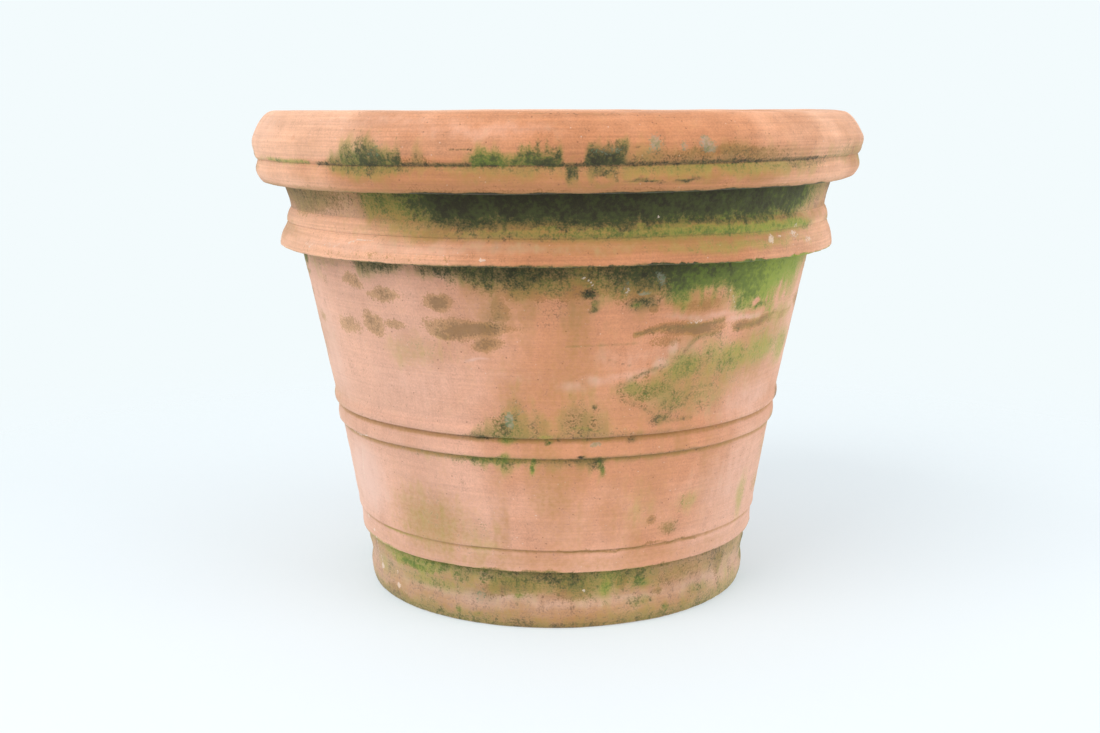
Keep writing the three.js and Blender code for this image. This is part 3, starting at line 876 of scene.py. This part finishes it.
class Shader:
    """A material's node tree. Each step returns the socket of its result."""

    def __init__(self, name):
        self.material = bpy.data.materials.new(name)
        self.material.use_nodes = True
        self.tree = self.material.node_tree
        self.surface = self.tree.nodes["Principled BSDF"]

    def add(self, kind, output, inputs, **settings):
        node = self.tree.nodes.new(kind)
        for name, value in settings.items():
            setattr(node, name, value)
        for socket, value in inputs.items():
            self.feed(node.inputs[socket], value)
        return node.outputs[output]

    def feed(self, socket, value):
        if isinstance(value, bpy.types.NodeSocket):
            self.tree.links.new(value, socket)
        elif socket.type == "RGBA":
            socket.default_value = (*value, 1.0)
        else:
            socket.default_value = value

    def calc(self, operation, a, b=0.0):
        return self.add("ShaderNodeMath", 0, {0: a, 1: b}, operation=operation)

    def times(self, a, b):
        return self.calc("MULTIPLY", a, b)

    def plus(self, a, b):
        return self.calc("ADD", a, b)

    def minus(self, a, b):
        return self.calc("SUBTRACT", a, b)

    def sway(self, value, other, amount):
        """The value, raised and lowered by another that runs from 0 to 1."""
        return self.plus(value, self.times(self.plus(other, -0.5), amount))

    def ramp(self, value, low, high, start=0.0, end=1.0):
        """An even curve from start, at low, to end, at high."""
        inputs = {"Value": value, "From Min": low, "From Max": high, "To Min": start, "To Max": end}
        return self.add("ShaderNodeMapRange", 0, inputs, interpolation_type="SMOOTHSTEP")

    def noise(self, place, scale, detail=2.0, roughness=0.55):
        inputs = {"Vector": place, "Scale": scale, "Detail": detail, "Roughness": roughness}
        return self.add("ShaderNodeTexNoise", "Fac", inputs)

    def cells(self, place, scale, output):
        return self.add("ShaderNodeTexVoronoi", output, {"Vector": place, "Scale": scale})

    def stretch(self, place, factors):
        return self.add("ShaderNodeVectorMath", 0, {0: place, 1: factors}, operation="MULTIPLY")

    def mix(self, amount, a, b, mode="MIX"):
        return self.add("ShaderNodeMix", 2, {0: amount, 6: a, 7: b}, data_type="RGBA", blend_type=mode)

    def coat(self, colour, cover, opacity, coating, mode="MIX"):
        """A colour with a coating over it."""
        return self.mix(self.times(cover, opacity), colour, coating, mode)

    def layer(self, name):
        """The three amounts in one of the painted layers."""
        return self.channels(self.add("ShaderNodeAttribute", "Color", {}, attribute_name=name))

    def channels(self, colour):
        node = self.tree.nodes.new("ShaderNodeSeparateColor")
        self.feed(node.inputs[0], colour)
        return node.outputs[0], node.outputs[1], node.outputs[2]

    def finish(self, inputs):
        """Feeds the surface, and returns the material."""
        for name, value in inputs.items():
            self.feed(self.surface.inputs[name], value)
        return self.material


def clay(name, warm, pink, roughness, wheel_marks):
    """Fired clay and its weathering. warm and pink are its two body colours, and pink also stands in for
    painted light on the left and towards the sides.
    """
    s = Shader(name)
    place = s.add("ShaderNodeTexCoord", "Object", {})
    growth, hue, stain_and_shade = s.layer("growth_hue_stain_and_shade")
    ochre_and_shade, bloom_and_light, lime = s.layer("ochre_and_shade_bloom_and_light_lime")
    lichen, soil_and_shade, pink_and_painted_light = s.layer("lichen_soil_and_shade_pink_and_light")

    dust = s.noise(place, 1500, 2)
    grain = s.noise(place, 620, 3)
    speckle = s.noise(place, 260, 3)
    mottle = s.noise(place, 75, 4)
    cloud = s.noise(place, 14, 3)
    wheel = s.noise(s.stretch(place, (9.0, 9.0, 520.0)), 1.0, 3)
    drips = s.noise(s.stretch(place, (150.0, 150.0, 14.0)), 1.0, 3)
    grains = s.plus(s.times(s.ramp(grain, 0.34, 0.66), 0.55), s.times(s.ramp(speckle, 0.34, 0.66), 0.45))
    streaked = s.plus(s.times(s.ramp(mottle, 0.3, 0.7), 0.5), s.times(s.ramp(drips, 0.3, 0.7), 0.5))
    threshold = s.plus(s.times(grains, 0.62), s.times(streaked, 0.38))

    # The bare clay, from warm orange to chalky pink; the pink is also painted light, on the left and
    # towards the sides.
    toned = s.ramp(s.sway(pink_and_painted_light, cloud, 1.3), 0.0, 1.0)
    colour = s.mix(toned, warm, pink)
    for value, depth in ((mottle, 0.1), (wheel, wheel_marks), (drips, 0.07), (grain, 0.2), (cloud, 0.14)):
        shade = s.ramp(value, 0.25, 0.75, 1 - depth / 2, 1 + depth / 2)
        grey = s.add("ShaderNodeCombineColor", 0, {0: shade, 1: shade, 2: shade})
        colour = s.mix(1.0, colour, grey, "MULTIPLY")
    fleck_size = s.cells(place, 330, "Distance")
    fleck_kind = s.channels(s.cells(place, 330, "Color"))
    dark_flecks = s.times(s.ramp(fleck_size, 0.3, 0.14), s.ramp(fleck_kind[0], 0.94, 0.98))
    pale_flecks = s.times(s.ramp(fleck_size, 0.26, 0.14), s.ramp(fleck_kind[1], 0.95, 0.98))
    colour = s.coat(colour, dark_flecks, 0.5, (0.16, 0.065, 0.03))
    colour = s.coat(colour, pale_flecks, 0.5, (0.8, 0.62, 0.5))

    # Thin films that tint it; the yellow-brown one also carries painted shade under the mouldings, and the
    # pale one painted light.
    ochre_and_shade_cover = s.ramp(s.sway(ochre_and_shade, threshold, 0.6), 0.0, 1.0)
    colour = s.coat(colour, ochre_and_shade_cover, 0.8, (0.4, 0.21, 0.06))
    # Pale salts, with painted light on the left, on the rim top and towards the sides.
    bloom_and_light_cover = s.ramp(s.sway(bloom_and_light, streaked, 0.35), 0.05, 1.1)
    colour = s.coat(colour, bloom_and_light_cover, 0.6, (0.78, 0.55, 0.47))
    # Stains, with painted shade under the rim bead, under the edges of the band and the lower wall, and
    # along the ground.
    stain_and_shade_edge = s.minus(stain_and_shade, s.times(threshold, 0.8))
    stain_and_shade_cover = s.ramp(stain_and_shade_edge, -0.12, 0.12)
    stain_and_shade_grains = s.ramp(stain_and_shade_edge, 0.2, 0.6)
    colour = s.coat(colour, stain_and_shade_cover, 0.85, (0.74, 0.75, 0.55), "MULTIPLY")
    colour = s.coat(colour, stain_and_shade_grains, 0.5, (0.17, 0.105, 0.045))

    # Earth inside and underneath, painted contact shadow along the ground, painted shade and dirt just
    # under the band, and a darker neck; then growth in grains that close up where it is strong.
    soil_and_shade_cover = s.ramp(s.minus(soil_and_shade, s.times(threshold, 0.9)), -0.25, 0.35)
    colour = s.coat(colour, soil_and_shade_cover, 0.75, (0.17, 0.1, 0.055))
    film = s.ramp(s.sway(growth, streaked, 0.5), 0.0, 1.1)
    film_colour = s.mix(s.ramp(hue, 0.15, 0.95), (0.18, 0.13, 0.045), (0.33, 0.34, 0.055))
    colour = s.coat(colour, film, 0.76, film_colour)
    crust = s.ramp(s.minus(growth, threshold), -0.16, 0.66)
    shifted = s.sway(s.sway(hue, s.ramp(mottle, 0.3, 0.7), 0.22), s.ramp(speckle, 0.34, 0.66), 0.2)
    crust_colour = s.mix(s.ramp(shifted, 0.0, 0.32), (0.022, 0.024, 0.012), (0.05, 0.066, 0.021))
    crust_colour = s.mix(s.ramp(shifted, 0.3, 0.62), crust_colour, (0.12, 0.175, 0.03))
    crust_colour = s.mix(s.ramp(shifted, 0.62, 1.0), crust_colour, (0.26, 0.33, 0.05))
    crust_colour = s.mix(s.ramp(dust, 0.5, 0.75, 0.0, 0.25), crust_colour, (0.11, 0.11, 0.04))
    colour = s.coat(colour, crust, 0.94, crust_colour)

    # Lichen, and limescale over everything.
    lichen_cover = s.ramp(s.minus(lichen, threshold), -0.1, 0.3)
    lichen_colour = s.mix(s.ramp(speckle, 0.35, 0.65), (0.2, 0.26, 0.13), (0.38, 0.37, 0.3))
    colour = s.coat(colour, lichen_cover, 0.55, lichen_colour)
    lime_cover = s.ramp(s.minus(lime, s.times(grains, 0.8)), 0.0, 0.3)
    colour = s.coat(colour, lime_cover, 0.62, (0.82, 0.67, 0.55))

    rough = s.plus(s.ramp(speckle, 0.3, 0.7, roughness - 0.07, roughness + 0.05), s.times(crust, 0.08))
    body = s.plus(s.times(dust, 0.2), s.times(grain, 0.5))
    body = s.plus(body, s.plus(s.times(wheel, 0.5), s.times(mottle, 0.4)))
    crusts = s.plus(s.times(crust, 0.7), s.times(lime_cover, 0.5))
    height = s.plus(s.plus(body, s.times(dark_flecks, -0.5)), crusts)
    return s.finish({
        "Base Color": colour,
        "Roughness": rough,
        "Normal": s.add("ShaderNodeBump", 0, {"Strength": 0.75, "Distance": 0.0007, "Height": height}),
        "Specular IOR Level": 0.28,
        "Diffuse Roughness": 0.7,
        "Sheen Weight": 0.12,
        "Sheen Roughness": 0.55,
        "Sheen Tint": (1.0, 0.93, 0.88),
    })


# ---- The pot ---------------------------------------------------------------------------------------

CLAYS = {slot: clay(slot + "_weathered", *look) for slot, look in {
    "rim_clay": ((0.55, 0.238, 0.11), (0.75, 0.43, 0.275), 0.8, 0.22),
    "wall_clay": ((0.625, 0.29, 0.155), (0.69, 0.4, 0.285), 0.84, 0.1),
    "neck_clay": ((0.44, 0.22, 0.1), (0.54, 0.32, 0.2), 0.88, 0.12),
    "foot_clay": ((0.47, 0.24, 0.12), (0.55, 0.34, 0.23), 0.87, 0.16),
}.items()}

# CAD node, slot, outline, and for a moulding its sharp lower edge and how deep its chips are.
PIECES = [
    ("floor_slab", "foot_clay", floor_slab(), None, 0),
    ("foot_ring", "foot_clay", foot_ring(), None, 0),
    ("lower_band", "wall_clay", course("band", "lower_wall", lower_band), (201.6, 58), 0.7),
    ("lower_wall", "wall_clay", course("lower_wall", "cordon", lower_wall), (204.8, 80), 0.4),
    ("lower_cordon", "wall_clay", course("cordon", "upper_wall", lower_cordon), (222.6, 170), 0.6),
    ("upper_wall", "wall_clay", course("upper_wall", "collar", upper_wall), (225.9, 190), 0.6),
    ("collar", "rim_clay", course("collar", "fillet", collar), (275.2, 347), 1.3),
    ("collar_fillet", "rim_clay", course("fillet", "neck", collar_fillet), None, 0),
    ("neck", "neck_clay", course("neck", "bead", neck), None, 0),
    ("rim_bead", "rim_clay", course("bead", "roll", rim_bead), (291, 406), 0.35),
    ("rim_roll", "rim_clay", rim_roll(), None, 0),
]

for node, slot, outline, lip, chip_depth in PIECES:
    name = "neck_clay_ring" if node == "neck" else node + "_clay"     # neck_clay is a slot already
    turned(name, node, slot, outline, lip, chip_depth)


# ---- Stage, light and camera -----------------------------------------------------------------------

BACKDROP = (0.896, 0.965, 0.982)
WORLD_LIGHT = 0.85


def make_floor():
    """Pale, lit from within so that its shadows stay weak, and fading into the backdrop."""
    s = Shader("studio_floor")
    place = s.add("ShaderNodeTexCoord", "Object", {})
    distance = s.add("ShaderNodeVectorMath", "Value", {0: place}, operation="LENGTH")
    patch = s.noise(place, 1.6, 3)
    s.finish({
        "Base Color": s.mix(patch, (0.47, 0.52, 0.55), (0.49, 0.54, 0.57)),
        "Roughness": 0.9,
        "Specular IOR Level": 0.1,
        "Emission Color": (0.93, 0.98, 1.0),
        "Emission Strength": 0.36,
        "Alpha": s.ramp(distance, 0.4, 1.5, 1.0, 0.0),
    })
    bpy.ops.mesh.primitive_circle_add(vertices=128, radius=3.4, fill_type="NGON")
    floor = bpy.context.object
    floor.name = "studio_floor"
    floor.data.materials.append(s.material)


def make_world():
    """The camera sees the backdrop, and the pot is lit by a softer version of it."""
    world = bpy.data.worlds.new("studio")
    world.use_nodes = True
    bpy.context.scene.world = world
    nodes, links = world.node_tree.nodes, world.node_tree.links
    seen = nodes["Background"]
    seen.inputs["Color"].default_value = (*BACKDROP, 1.0)
    lighting = nodes.new("ShaderNodeBackground")
    lighting.inputs["Color"].default_value = (0.97, 0.985, 1.0, 1.0)
    lighting.inputs["Strength"].default_value = WORLD_LIGHT
    path = nodes.new("ShaderNodeLightPath")
    choose = nodes.new("ShaderNodeMixShader")
    links.new(path.outputs["Is Camera Ray"], choose.inputs[0])
    links.new(lighting.outputs[0], choose.inputs[1])
    links.new(seen.outputs[0], choose.inputs[2])
    links.new(choose.outputs[0], nodes["World Output"].inputs["Surface"])


def soft_light(name, location, target, size, power, colour):
    """A large square area light that faces a target."""
    data = bpy.data.lights.new(name, "AREA")
    data.size = size
    data.energy = power
    data.color = colour
    light = bpy.data.objects.new(name, data)
    direction = np.array(target) - np.array(location)
    light.location = location
    light.rotation_euler = (math.atan2(math.hypot(direction[0], direction[1]), -direction[2]), 0,
                            math.atan2(direction[1], direction[0]) - math.pi / 2)
    light.visible_camera = False
    bpy.context.scene.collection.objects.link(light)


def make_camera():
    """Stands at eye level with the rim, 1.4 m away, and looks 10.5 degrees down."""
    data = bpy.data.cameras.new("camera")
    data.lens = 45.85
    data.sensor_width = 36
    data.clip_start = 0.05
    camera = bpy.data.objects.new("camera", data)
    turned_right = Matrix.Rotation(math.radians(0.23), 4, "Z")
    tilted = Matrix.Rotation(math.radians(79.49), 4, "X")
    rolled = Matrix.Rotation(math.radians(-0.26), 4, "Z")
    camera.matrix_world = Matrix.Translation((0, -1.4233, 0.476)) @ turned_right @ tilted @ rolled
    bpy.context.scene.collection.objects.link(camera)
    bpy.context.scene.camera = camera


make_floor()
make_world()
soft_light("key", (-2.7, -2.7, 3.6), (0, 0, 0.2), 3.8, 146, (1.0, 0.985, 0.96))
soft_light("fill", (3.6, -2.0, 1.6), (0, 0, 0.2), 3.4, 84, (1.0, 0.99, 0.98))
make_camera()

bpy.context.scene.view_settings.view_transform = "Standard"
bpy.context.scene.view_settings.look = "None"
